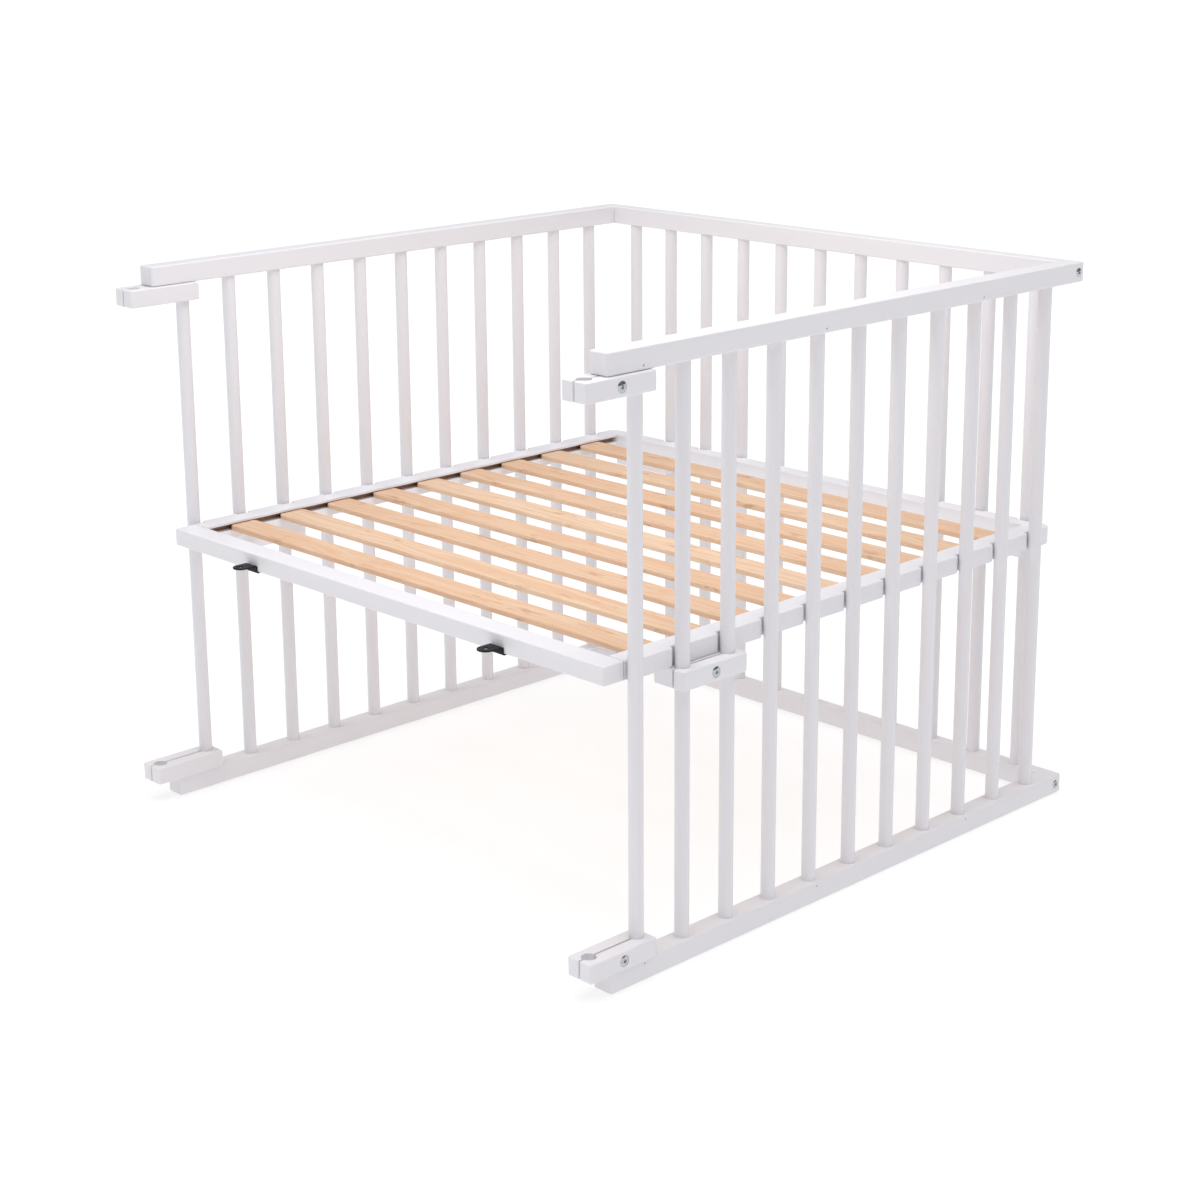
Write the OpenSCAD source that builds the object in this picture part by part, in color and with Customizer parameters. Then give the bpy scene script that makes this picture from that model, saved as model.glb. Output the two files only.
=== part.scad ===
// Three-sided wooden playpen with a height-adjustable slatted base.
// Millimetres, +Z up, open front towards -Y. The origin is on the floor,
// in the middle of the outer box.

/* [Panels] */
// Width over the two side panels
pen_w = 970; // [950:1:1000]
// Depth of the side panels
pen_d = 961; // [955:1:980]
// Height of a panel, over its two rails
panel_h = 814; // [700:1:900]
// Width of a side panel's rails
rail_w = 31; // [30:0.5:34]
// Height of every panel rail
rail_h = 29; // [27:0.5:32]
// Thickness of the back panel's rails
back_rail_w = 25; // [24:0.5:28]
// Radius on the long edges of the rails
rail_edge = 2.5; // [1:0.5:4]
// Height of the glides under the side panels
glide_h = 2; // [1:0.5:4]

/* [Spindles] */
// Diameter of a spindle
spindle_d = 19.5; // [18:0.5:20]
// Spindles in each panel
spindle_count = 11; // [11:1:11]
// Spacing of the side panels' spindles
side_pitch = 83; // [82:0.1:84]
// Spacing of the back panel's spindles
back_pitch = 82.4; // [82:0.1:83]
// First side spindle, from the front end of the rails
first_spindle = 60; // [58:0.5:64]
// Diameter of the tenons at the spindle ends
tenon_d = 14; // [12:0.5:15]
// Length of a tenon
tenon_l = 16; // [12:0.5:18]

/* [Clamps] */
// Height of a clamp block
clamp_h = 26; // [24:0.5:28]
// Wood from a hole's centre to the end of the block
clamp_end = 17; // [16:0.5:20]
// Saw cut between the two halves
clamp_gap = 3; // [2:0.5:4]
// Thickness of a front clamp's halves
front_half_w = 19.5; // [18:0.5:21]
// Thickness of a bearer clamp's outer half
bearer_outer_w = 18; // [17:0.5:20]
// Thickness of a bearer clamp's inner half, which carries the base
bearer_inner_w = 33; // [30:0.5:36]
// Radius on the upright edges of a clamp
clamp_edge = 3; // [1:0.5:5]
// Radial clearance of a spindle in a clamp
clamp_fit = 0.05; // [0.02:0.01:0.08]

/* [Base] */
// Underside of the base above the floor
base_z = 396; // [200:1:600]
// Height of the base frame's rails
base_h = 26; // [24:1:30]
// Front face of the base, from the front end of the panel rails
base_front = 18; // [14:0.5:20]
// Width of the base's front rail
base_front_w = 35; // [30:0.5:36]
// Width of the base's side rails
base_side_w = 35; // [33:0.5:36]
// Width of the base's back rail
base_back_w = 28.5; // [27:0.5:30]
// Room between the base and a side spindle at the bottom of its notch
notch_room = 2.5; // [2:0.1:3]
// Room between the base and a back spindle at the bottom of its notch
back_notch_room = 2.2; // [2:0.1:3]
// Half the width of a notch
notch_half = 11; // [10.5:0.1:12]
// How far the teeth between two notches stand out
notch_depth = 7; // [6:0.5:8]
// Radius in the corners of the notches
notch_corner = 3; // [1:0.5:4]
// Radius of the base's two rear corners
base_corner = 20; // [10:1:24]

/* [Slats] */
// Slats in the base
slat_count = 9; // [9:1:9]
// Width of a slat
slat_w = 47; // [40:1:54]
// Thickness of a slat
slat_t = 8; // [6:0.5:8.5]
// Radius on the long edges of a slat
slat_edge = 2; // [1:0.5:3]
// Radius of a slat's corners, seen from above
slat_corner = 16; // [8:1:20]
// Wood planed off the top of a slat's ends, where they enter the grooves
planed = 0.5; // [0.3:0.1:1]
// Top of the slats, below the top of the base frame
slat_drop = 5; // [4.5:0.5:6]
// Height of the groove that holds the slat ends
groove_h = 9; // [8.7:0.1:10]
// Depth of the groove
groove_d = 12; // [10:0.5:13]

/* [Bed brackets] */
// Middle of a bracket, from the middle of the pen
bracket_x = 263.5; // [200:0.5:300]
// Width of the bracket strip
bracket_w = 24; // [20:1:30]
// Thickness of the bracket strip
bracket_t = 2; // [2:0.5:3]
// Hole in front of the base's front face
bracket_reach = 20; // [18:0.5:26]
// Hole radius
bracket_hole_r = 3.5; // [2.5:0.5:4]
// Length of the foot under the front rail
bracket_foot = 30; // [24:1:32]

/* [Fasteners] */
// Radius of the bolt shanks
bolt_r = 3; // [2.5:0.5:3.5]
// Radius of the clamp bolt heads
clamp_head_r = 7.5; // [6:0.5:8]
// Radius of the corner bolt heads
corner_head_r = 6.5; // [6:0.5:7.5]
// Height of a bolt head
head_h = 3.5; // [3:0.5:4]
// How far a head stands out of the wood
head_proud = 1.2; // [0.5:0.1:2]
// Corner radius of the hexagon socket
socket_r = 2.9; // [2:0.1:3.2]
// Corner radius of the hexagon nuts
nut_r = 5.8; // [5.5:0.1:6]
// Thickness of a hexagon nut
nut_h = 5; // [4:0.5:6]
// Clearance round bolts, nuts and dowels
slip = 0.05; // [0.03:0.01:0.1]

/* [Hidden] */
$fn = 48;
fine = 96;                                // facets of large or fitted circles
cut = 1;                                  // how far a cutter runs past a face
spindle_r = spindle_d / 2;
line_x = pen_w / 2 - rail_w / 2;          // spindle line of a side panel
bore_r = spindle_r + clamp_fit;
running_gap = 0.3;                        // between parts that move apart

// Everything along Y is measured from the front ends of the side rails.
clamp_front = clamp_end + side_pitch - first_spindle;
back_reach = pen_d - back_rail_w / 2 + clamp_gap / 2 + bearer_outer_w + head_proud;
front_y = (clamp_front - back_reach) / 2;
back_y = front_y + pen_d;
back_line_y = back_y - back_rail_w / 2;   // spindle line of the back panel
spindle_y = front_y + first_spindle;

bottom_z = glide_h;
bottom_top = bottom_z + rail_h;
top_z = bottom_z + panel_h - rail_h;
inner_x = pen_w / 2 - rail_w;             // inner faces of the side rails

front_clamp_y = spindle_y - side_pitch / 2;
bearer_y = spindle_y + 1.5 * side_pitch;
bearer_z = base_z - clamp_h;
top_clamp_z = top_z - running_gap - clamp_h;
bottom_clamp_z = bottom_top + running_gap;
back_bearer_x = (spindle_count - 2) * back_pitch / 2;

notch_x = line_x - spindle_r - notch_room;
notch_y = back_line_y - spindle_r - back_notch_room;
base_y0 = front_y + base_front;
side_y0 = base_y0 + base_front_w;
base_y1 = notch_y + notch_depth;
side_y1 = base_y1 - base_back_w;
base_x1 = notch_x + notch_depth;
base_x0 = base_x1 - base_side_w;
slat_z = base_z + base_h - slat_drop - slat_t;
groove_z = slat_z;
slat_end_gap = 5;                         // between a slat's end and the bottom of its groove
slat_len = 2 * (base_x0 + groove_d - slat_end_gap);
shoulder_x = base_x0 - 1;                 // where a slat's full thickness ends
slat_gap = (side_y1 - side_y0 - slat_count * slat_w) / (slat_count + 1);

dowel_r = 4;
dowel_l = 40;
dowel_x = base_x0 + 20;
dowel_heights = [6.5, 19.5];
pin_r = 3;
pin_l = 30;
pin_rise = 9.5;
barrel_r = 5;
barrel_l = 16;
barrel_x = inner_x - 20;
nut_bore_l = 13;                          // from the saw cut into a clamp's inner half
bolt_past = 11;                           // bolt beyond the saw cut
socket_deep = 2.2;
dome_r = 2.5;                             // of a bolt head, in head radii
nail_r = 0.8;
nail_l = 22;
nail_head_r = 1.4;
nail_head_h = 1;
nail_inset = 6;
nailed = [0, 4, 8];
padded = [0, 5, 10];
glide_r = 7.5;
screw_r = 1.9;
screw_l = 16;
screw_head_r = 3.8;
screw_head_h = 1.6;
screw_spread = 7;
screw_inset = 11;
eye_z = 8;                                // underside of a bracket's eye above the base's underside

white_paint = [0.93, 0.93, 0.94];
pale_wood = [0.91, 0.77, 0.6];
bright_steel = [0.75, 0.76, 0.78];
black_steel = [0.08, 0.08, 0.09];

// ---- Shapes that several parts share ----

module rounded_rect(w, h, r) {
    square([w - 2 * r, h], center = true);
    square([w, h - 2 * r], center = true);
    for (x = [-1, 1], y = [-1, 1])
        translate([x * (w / 2 - r), y * (h / 2 - r)])
            circle(r);
}

// A cylinder along X that starts at x = 0.
module rod_x(r, l) {
    rotate([0, 90, 0]) cylinder(r = r, h = l);
}

// A cylinder along Y that starts at y = 0.
module rod_y(r, l) {
    rotate([-90, 0, 0]) cylinder(r = r, h = l);
}

module on_side(side) {
    mirror([side < 0 ? 1 : 0, 0, 0]) children();
}

// A dome-headed bolt along -X with its seat at x = 0 and a hexagon socket.
module socket_bolt(head_r, l) {
    difference() {
        union() {
            rotate([0, 90, 0]) rotate_extrude()
                intersection() {
                    square([head_r, head_h]);
                    translate([0, head_h - dome_r * head_r]) circle(dome_r * head_r, $fn = 160);
                }
            translate([-l, 0, 0]) rod_x(bolt_r, l + cut / 2);
        }
        translate([head_h - socket_deep, 0, 0]) rotate([0, 90, 0])
            cylinder(r = socket_r, h = socket_deep + cut, $fn = 6);
    }
}

// ---- Panels ----

function side_spindle_y(i) = spindle_y + i * side_pitch;
function back_spindle_x(i) = (i - (spindle_count - 1) / 2) * back_pitch;

module spindle() {
    translate([0, 0, bottom_top]) cylinder(r = spindle_r, h = top_z - bottom_top);
    translate([0, 0, bottom_top - tenon_l])
        cylinder(r = tenon_d / 2, h = top_z - bottom_top + 2 * tenon_l);
}

// The blind hole for a tenon, open at z = 0.
module tenon_hole() {
    translate([0, 0, -cut]) cylinder(r = tenon_d / 2 + slip, h = tenon_l + 2 * cut);
}

// A side rail whose tenon holes open downwards, with its underside at z = 0.
module side_rail() {
    difference() {
        translate([line_x, back_y, rail_h / 2]) rotate([90, 0, 0])
            linear_extrude(pen_d) rounded_rect(rail_w, rail_h, rail_edge);
        for (i = [0 : spindle_count - 1])
            translate([line_x, side_spindle_y(i), 0]) tenon_hole();
        translate([0, back_line_y, rail_h / 2]) {
            translate([inner_x - cut, 0, 0]) rod_x(bolt_r + slip, rail_w + 2 * cut);
            translate([pen_w / 2 + head_proud - head_h, 0, 0]) rod_x(corner_head_r + slip, head_h + cut);
        }
        for (z = [-pin_rise, pin_rise])
            translate([inner_x - cut, back_line_y, rail_h / 2 + z])
                rod_x(pin_r + slip, pin_l / 2 + 1.5 * cut);
    }
}

module back_rail() {
    difference() {
        translate([-inner_x, back_line_y, rail_h / 2]) rotate([90, 0, 90])
            linear_extrude(2 * inner_x) rounded_rect(back_rail_w, rail_h, rail_edge);
        for (i = [0 : spindle_count - 1])
            translate([back_spindle_x(i), back_line_y, 0]) tenon_hole();
        for (side = [-1, 1]) on_side(side) {
            translate([barrel_x - barrel_r - cut, back_line_y, rail_h / 2])
                rod_x(bolt_r + slip, inner_x - barrel_x + barrel_r + 2 * cut);
            translate([barrel_x, back_line_y, -cut])
                cylinder(r = barrel_r + slip, h = cut + (rail_h + barrel_l) / 2 + slip);
            for (z = [-pin_rise, pin_rise])
                translate([inner_x - (pin_l + cut) / 2, back_line_y, rail_h / 2 + z])
                    rod_x(pin_r + slip, pin_l);
        }
    }
}

module as_top_rail() {
    translate([0, 0, top_z]) children();
}

module as_bottom_rail() {
    translate([0, 0, bottom_top]) mirror([0, 0, 1]) children();
}

module side_bottom_rail(side) {
    color(white_paint) on_side(side) as_bottom_rail() side_rail();
}

module side_top_rail(side) {
    color(white_paint) on_side(side) as_top_rail() side_rail();
}

module back_bottom_rail() {
    color(white_paint) as_bottom_rail() back_rail();
}

module back_top_rail() {
    color(white_paint) as_top_rail() back_rail();
}

module side_spindles(side) {
    color(white_paint) on_side(side)
        for (i = [1 : spindle_count - 1])
            translate([line_x, side_spindle_y(i), 0]) spindle();
}

module front_spindle(side) {
    color(white_paint) on_side(side) translate([line_x, side_spindle_y(0), 0]) spindle();
}

module back_spindles() {
    color(white_paint)
        for (i = [0 : spindle_count - 1])
            translate([back_spindle_x(i), back_line_y, 0]) spindle();
}

module at_corners() {
    for (side = [-1, 1]) on_side(side) {
        translate([0, back_line_y, bottom_top - rail_h / 2]) mirror([0, 0, 1]) children();
        translate([0, back_line_y, top_z + rail_h / 2]) children();
    }
}

module corner_bolts() {
    seat = pen_w / 2 + head_proud - head_h;
    color(bright_steel) at_corners()
        translate([seat, 0, 0]) socket_bolt(corner_head_r, seat - barrel_x + barrel_r);
}

// Cross nuts that the corner bolts screw into.
module barrel_nuts() {
    color(bright_steel) at_corners()
        difference() {
            translate([barrel_x, 0, -barrel_l / 2]) cylinder(r = barrel_r, h = barrel_l);
            translate([barrel_x - barrel_r - cut, 0, 0]) rod_x(bolt_r + slip, 2 * (barrel_r + cut));
        }
}

module corner_pins() {
    color(pale_wood) at_corners()
        for (z = [-pin_rise, pin_rise])
            translate([inner_x - pin_l / 2, 0, z]) rod_x(pin_r, pin_l);
}

module spindle_nails() {
    color(bright_steel)
        for (side = [-1, 1], i = nailed, z = [bottom_top - nail_inset, top_z + nail_inset])
            on_side(side) translate([pen_w / 2, side_spindle_y(i), z]) {
                translate([-nail_l, 0, 0]) rod_x(nail_r, nail_l);
                translate([-nail_head_h, 0, 0]) rod_x(nail_head_r, nail_head_h);
            }
}

module glides() {
    color(black_steel)
        for (side = [-1, 1], i = padded)
            on_side(side) translate([line_x, side_spindle_y(i), 0]) cylinder(r = glide_r, h = glide_h);
}

// ---- Clamps ----
// A clamp stands on z = 0 with its long side along Y, its middle at the origin,
// its outer half towards +X and its bolt across the middle.

module clamp_outline(inner_w, outer_w, pitch) {
    x0 = -clamp_gap / 2 - inner_w;
    x1 = clamp_gap / 2 + outer_w;
    difference() {
        translate([(x0 + x1) / 2, 0]) rounded_rect(x1 - x0, pitch + 2 * clamp_end, clamp_edge);
        for (y = [-pitch / 2, pitch / 2])
            translate([0, y]) circle(bore_r, $fn = fine);
    }
}

// The half of a clamp on one side of the saw cut.
module clamp_half(inner_w, outer_w, pitch, side) {
    reach = pitch / 2 + clamp_end + cut;
    linear_extrude(clamp_h) intersection() {
        clamp_outline(inner_w, outer_w, pitch);
        translate([side > 0 ? clamp_gap / 2 : -clamp_gap / 2 - reach, -reach]) square([reach, 2 * reach]);
    }
}

module clamp_outer(inner_w, outer_w, pitch) {
    face = clamp_gap / 2 + outer_w;
    difference() {
        clamp_half(inner_w, outer_w, pitch, 1);
        translate([0, 0, clamp_h / 2]) rod_x(bolt_r + slip, face + cut);
        translate([face + head_proud - head_h, 0, clamp_h / 2]) rod_x(clamp_head_r + slip, head_h + cut);
    }
}

module clamp_inner(inner_w, outer_w, pitch) {
    difference() {
        clamp_half(inner_w, outer_w, pitch, -1);
        translate([-clamp_gap / 2 - nut_bore_l, 0, clamp_h / 2]) rod_x(bolt_r + slip, nut_bore_l + cut);
        translate([-clamp_gap / 2 - nut_h, 0, clamp_h / 2]) rotate([0, 90, 0])
            cylinder(r = nut_r + slip, h = nut_h + cut, $fn = 6);
    }
}

module clamp_bolt(outer_w) {
    seat = clamp_gap / 2 + outer_w + head_proud - head_h;
    translate([seat, 0, clamp_h / 2]) socket_bolt(clamp_head_r, seat + clamp_gap / 2 + bolt_past);
}

module clamp_nut() {
    translate([-clamp_gap / 2 - nut_h + slip, 0, clamp_h / 2]) rotate([0, 90, 0])
        difference() {
            cylinder(r = nut_r, h = nut_h - slip, $fn = 6);
            translate([0, 0, -cut]) cylinder(r = bolt_r + slip, h = nut_h + 2 * cut);
        }
}

module at_front_clamp(side, z) {
    on_side(side) translate([line_x, front_clamp_y, z]) children();
}

module front_clamp_outer(side, z) {
    color(white_paint) at_front_clamp(side, z) clamp_outer(front_half_w, front_half_w, side_pitch);
}

module front_clamp_inner(side, z) {
    color(white_paint) at_front_clamp(side, z) clamp_inner(front_half_w, front_half_w, side_pitch);
}

module front_clamp_bolt(side, z) {
    color(bright_steel) at_front_clamp(side, z) clamp_bolt(front_half_w);
}

module front_clamp_nut(side, z) {
    color(bright_steel) at_front_clamp(side, z) clamp_nut();
}

// ---- Base ----

module at_side_bearer(side) {
    on_side(side) translate([line_x, bearer_y, bearer_z]) children();
}

module at_back_bearer(side) {
    on_side(side) translate([back_bearer_x, back_line_y, bearer_z]) rotate([0, 0, 90]) children();
}

module side_bearer_outer(side) {
    color(white_paint) at_side_bearer(side) clamp_outer(bearer_inner_w, bearer_outer_w, side_pitch);
}

module side_bearer_inner(side) {
    color(white_paint) at_side_bearer(side) clamp_inner(bearer_inner_w, bearer_outer_w, side_pitch);
}

module back_bearer_outer(side) {
    color(white_paint) at_back_bearer(side) clamp_outer(bearer_inner_w, bearer_outer_w, back_pitch);
}

module back_bearer_inner(side) {
    color(white_paint) at_back_bearer(side) clamp_inner(bearer_inner_w, bearer_outer_w, back_pitch);
}

module at_bearers() {
    for (side = [-1, 1]) {
        at_side_bearer(side) children();
        at_back_bearer(side) children();
    }
}

module bearer_bolts() {
    color(bright_steel) at_bearers() clamp_bolt(bearer_outer_w);
}

module bearer_nuts() {
    color(bright_steel) at_bearers() clamp_nut();
}

// Plan of the room that one spindle needs in the edge of the base, open to +X.
module notch() {
    translate([notch_half, 0]) rounded_rect(2 * notch_half, 2 * notch_half, notch_corner);
}

// Dowel holes in the end of a base rail, along Y about a joint at y.
module dowel_holes(y) {
    for (side = [-1, 1], z = dowel_heights)
        translate([side * dowel_x, y - (dowel_l + cut) / 2, base_z + z])
            rod_y(dowel_r + slip, dowel_l + cut);
}

module base_front_rail() {
    color(white_paint) difference() {
        translate([-notch_x, (base_y0 + side_y0) / 2, base_z + base_h / 2]) rotate([90, 0, 90])
            linear_extrude(2 * notch_x) rounded_rect(base_front_w, base_h, rail_edge);
        dowel_holes(side_y0);
        for (side = [-1, 1]) at_bracket(side) bracket_screw_places() cylinder(r = screw_r, h = screw_l);
    }
}

module base_side_rail(side) {
    color(white_paint) difference() {
        on_side(side) difference() {
            translate([0, 0, base_z]) linear_extrude(base_h) difference() {
                translate([base_x0, side_y0]) square([base_side_w, side_y1 - side_y0]);
                for (i = [0 : spindle_count - 1])
                    translate([notch_x, side_spindle_y(i)]) notch();
            }
            translate([base_x0 - cut, side_y0 - cut, groove_z])
                cube([groove_d + cut, side_y1 - side_y0 + 2 * cut, groove_h]);
        }
        dowel_holes(side_y0);
        dowel_holes(side_y1);
    }
}

module base_back_rail() {
    color(white_paint) difference() {
        translate([0, 0, base_z]) linear_extrude(base_h) difference() {
            intersection() {
                translate([-base_x1, side_y1]) square([2 * base_x1, base_back_w]);
                translate([0, base_y1 - base_x1])
                    rounded_rect(2 * base_x1, 2 * base_x1, base_corner, $fn = fine);
            }
            for (i = [0 : spindle_count - 1])
                translate([back_spindle_x(i), notch_y]) rotate(90) notch();
        }
        dowel_holes(side_y1);
    }
}

// A slat, planed thinner at its ends. The rest of its top lies clear between the side rails.
module slat(i) {
    y = side_y0 + slat_gap + slat_w / 2 + i * (slat_w + slat_gap);
    color(pale_wood) translate([0, y, slat_z]) difference() {
        intersection() {
            translate([-slat_len / 2, 0, slat_t / 2]) rotate([90, 0, 90])
                linear_extrude(slat_len) rounded_rect(slat_w, slat_t, slat_edge);
            translate([0, 0, -cut]) linear_extrude(slat_t + 2 * cut)
                rounded_rect(slat_len, slat_w, slat_corner);
        }
        for (side = [-1, 1]) on_side(side)
            translate([shoulder_x, -slat_w / 2 - cut, slat_t - planed])
                cube([slat_len / 2, slat_w + 2 * cut, planed + cut]);
    }
}

module base_dowels() {
    color(pale_wood)
        for (side = [-1, 1], y = [side_y0, side_y1], z = dowel_heights)
            translate([side * dowel_x, y - dowel_l / 2, base_z + z]) rod_y(dowel_r, dowel_l);
}

// Bracket frame: origin at the bottom front edge of the front rail, under the bracket's middle.
module at_bracket(side) {
    translate([side * bracket_x, base_y0, base_z]) children();
}

module bracket_screw_places() {
    for (x = [-screw_spread, screw_spread])
        translate([x, bracket_foot - screw_inset, 0]) children();
}

// A folded strip: foot under the rail, web up its front face, eye forward.
module bed_bracket(side) {
    color(black_steel) at_bracket(side) difference() {
        union() {
            translate([-bracket_w / 2, -bracket_t, -bracket_t])
                cube([bracket_w, bracket_foot + bracket_t, bracket_t]);
            translate([-bracket_w / 2, -bracket_t, -bracket_t])
                cube([bracket_w, bracket_t, eye_z + 2 * bracket_t]);
            translate([0, 0, eye_z]) linear_extrude(bracket_t) {
                translate([-bracket_w / 2, -bracket_reach]) square([bracket_w, bracket_reach]);
                translate([0, -bracket_reach]) circle(bracket_w / 2);
            }
        }
        translate([0, -bracket_reach, eye_z - cut]) cylinder(r = bracket_hole_r, h = bracket_t + 2 * cut);
        bracket_screw_places() translate([0, 0, -bracket_t - cut])
            cylinder(r = screw_r + slip, h = bracket_t + 2 * cut);
    }
}

module bracket_screws() {
    color(black_steel)
        for (side = [-1, 1]) at_bracket(side) bracket_screw_places() {
            translate([0, 0, -bracket_t - screw_head_h]) cylinder(r = screw_head_r, h = screw_head_h);
            translate([0, 0, -bracket_t - screw_head_h])
                cylinder(r = screw_r, h = screw_head_h + bracket_t + screw_l);
        }
}

side_bottom_rail(-1);  // left_bottom_rail
side_top_rail(-1);  // left_top_rail
side_bottom_rail(1);  // right_bottom_rail
side_top_rail(1);  // right_top_rail
back_bottom_rail();
back_top_rail();
side_spindles(-1);  // left_spindles
side_spindles(1);  // right_spindles
back_spindles();
front_spindle(-1);  // left_front_spindle
front_spindle(1);  // right_front_spindle
corner_bolts();
barrel_nuts();
corner_pins();
spindle_nails();
glides();
base_front_rail();
base_back_rail();
base_side_rail(-1);  // base_left_rail
base_side_rail(1);  // base_right_rail
slat(0);  // slat_1
slat(1);  // slat_2
slat(2);  // slat_3
slat(3);  // slat_4
slat(4);  // slat_5
slat(5);  // slat_6
slat(6);  // slat_7
slat(7);  // slat_8
slat(8);  // slat_9
base_dowels();
bed_bracket(-1);  // left_bed_bracket
bed_bracket(1);  // right_bed_bracket
bracket_screws();
side_bearer_inner(-1);  // left_bearer_inner
side_bearer_outer(-1);  // left_bearer_outer
side_bearer_inner(1);  // right_bearer_inner
side_bearer_outer(1);  // right_bearer_outer
back_bearer_inner(-1);  // back_left_bearer_inner
back_bearer_outer(-1);  // back_left_bearer_outer
back_bearer_inner(1);  // back_right_bearer_inner
back_bearer_outer(1);  // back_right_bearer_outer
bearer_bolts();
bearer_nuts();
front_clamp_inner(-1, top_clamp_z);  // left_top_clamp_inner
front_clamp_outer(-1, top_clamp_z);  // left_top_clamp_outer
front_clamp_bolt(-1, top_clamp_z);  // left_top_clamp_bolt
front_clamp_nut(-1, top_clamp_z);  // left_top_clamp_nut
front_clamp_inner(-1, bottom_clamp_z);  // left_bottom_clamp_inner
front_clamp_outer(-1, bottom_clamp_z);  // left_bottom_clamp_outer
front_clamp_bolt(-1, bottom_clamp_z);  // left_bottom_clamp_bolt
front_clamp_nut(-1, bottom_clamp_z);  // left_bottom_clamp_nut
front_clamp_inner(1, top_clamp_z);  // right_top_clamp_inner
front_clamp_outer(1, top_clamp_z);  // right_top_clamp_outer
front_clamp_bolt(1, top_clamp_z);  // right_top_clamp_bolt
front_clamp_nut(1, top_clamp_z);  // right_top_clamp_nut
front_clamp_inner(1, bottom_clamp_z);  // right_bottom_clamp_inner
front_clamp_outer(1, bottom_clamp_z);  // right_bottom_clamp_outer
front_clamp_bolt(1, bottom_clamp_z);  // right_bottom_clamp_bolt
front_clamp_nut(1, bottom_clamp_z);  // right_bottom_clamp_nut
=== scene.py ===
"""Looks of the white wooden playpen with its bare slatted base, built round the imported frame."""
import math

import bmesh
import bpy
from mathutils import Euler, Matrix, Vector


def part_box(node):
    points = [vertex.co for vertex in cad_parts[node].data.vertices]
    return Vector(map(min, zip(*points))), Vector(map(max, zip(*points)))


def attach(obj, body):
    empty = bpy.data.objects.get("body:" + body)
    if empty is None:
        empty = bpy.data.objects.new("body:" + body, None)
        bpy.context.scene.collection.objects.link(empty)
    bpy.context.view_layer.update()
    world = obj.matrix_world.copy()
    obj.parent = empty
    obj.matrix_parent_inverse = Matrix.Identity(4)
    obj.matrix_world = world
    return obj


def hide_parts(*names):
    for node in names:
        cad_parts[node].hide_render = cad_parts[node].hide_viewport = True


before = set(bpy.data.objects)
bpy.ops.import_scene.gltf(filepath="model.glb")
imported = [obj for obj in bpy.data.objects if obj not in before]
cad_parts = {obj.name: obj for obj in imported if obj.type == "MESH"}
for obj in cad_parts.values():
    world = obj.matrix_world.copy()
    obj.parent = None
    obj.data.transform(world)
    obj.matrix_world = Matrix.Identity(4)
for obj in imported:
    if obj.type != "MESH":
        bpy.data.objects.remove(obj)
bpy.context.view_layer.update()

MM = 0.001

# ---- Sizes that the frame gives ----

rail_lo, rail_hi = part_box("right_top_rail")
foot_lo, foot_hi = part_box("right_bottom_rail")
pin_lo, pin_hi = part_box("right_front_spindle")
side_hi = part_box("right_spindles")[1]
rear_lo, rear_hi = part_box("back_spindles")
edge_lo, edge_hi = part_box("base_right_rail")
tail_lo, tail_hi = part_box("base_back_rail")
nose_lo, nose_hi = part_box("base_front_rail")

SPINDLES = 11
SPINDLE_R = (pin_hi.x - pin_lo.x) / 2
LINE_X = (pin_hi.x + pin_lo.x) / 2
BACK_Y = (rear_hi.y + rear_lo.y) / 2
FIRST_Y = (pin_hi.y + pin_lo.y) / 2
SIDE_PITCH = (side_hi.y - SPINDLE_R - FIRST_Y) / (SPINDLES - 1)
BACK_PITCH = (rear_hi.x - SPINDLE_R) * 2 / (SPINDLES - 1)
SLIP = 0.05 * MM                 # clearance round spindles, bolts and nuts
BORE_R = SPINDLE_R + SLIP
GAP = 1.5 * MM                   # half the saw cut of a clamp
BOLT_R = 3 * MM
PROUD = 1.2 * MM                 # how far a bolt head stands out
HEAD_H = 3.5 * MM
CLAMP_HEAD_R = 7.5 * MM
CORNER_HEAD_R = 6.5 * MM
SOFT = 2.4 * MM                  # rounding of the lacquered wood's long edges
BASE_SOFT = 2 * MM               # rounding of the slats and of the base's notched rails
CRISP = 0.5 * MM                 # easing of the brackets' edges

SIDES = ((-1, "left"), (1, "right"))
LEVELS = ("bottom", "top")

collection = bpy.context.scene.collection


# ---- Node trees ----

class Graph:
    """Fills a node tree: inputs are given as values or as the sockets that feed them."""

    def __init__(self, tree):
        self.tree = tree

    def add(self, kind, inputs=None, **settings):
        node = self.tree.nodes.new(kind)
        for key, value in settings.items():
            setattr(node, key, value)
        for key, value in (inputs or {}).items():
            if isinstance(value, bpy.types.NodeSocket):
                self.tree.links.new(value, node.inputs[key])
            else:
                node.inputs[key].default_value = value
        return node

    def math(self, operation, a, b=0.0):
        return self.add("ShaderNodeMath", {0: a, 1: b}, operation=operation).outputs[0]

    def ramp(self, value, low, high, to_low=0.0, to_high=1.0):
        node = self.add("ShaderNodeMapRange", {"Value": value, "From Min": low, "From Max": high,
                                               "To Min": to_low, "To Max": to_high})
        return node.outputs["Result"]

    def noise(self, vector, scale, detail=3.0, roughness=0.55):
        node = self.add("ShaderNodeTexNoise", {"Vector": vector, "Scale": scale, "Detail": detail,
                                               "Roughness": roughness})
        return node.outputs["Fac"]

    def stretch(self, vector, scale):
        return self.add("ShaderNodeMapping", {"Vector": vector, "Scale": scale}).outputs["Vector"]

    def mix(self, factor, a, b):
        """A blend of two colours."""
        return self.add("ShaderNodeMix", {0: factor, 6: a, 7: b}, data_type="RGBA").outputs[2]


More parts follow.
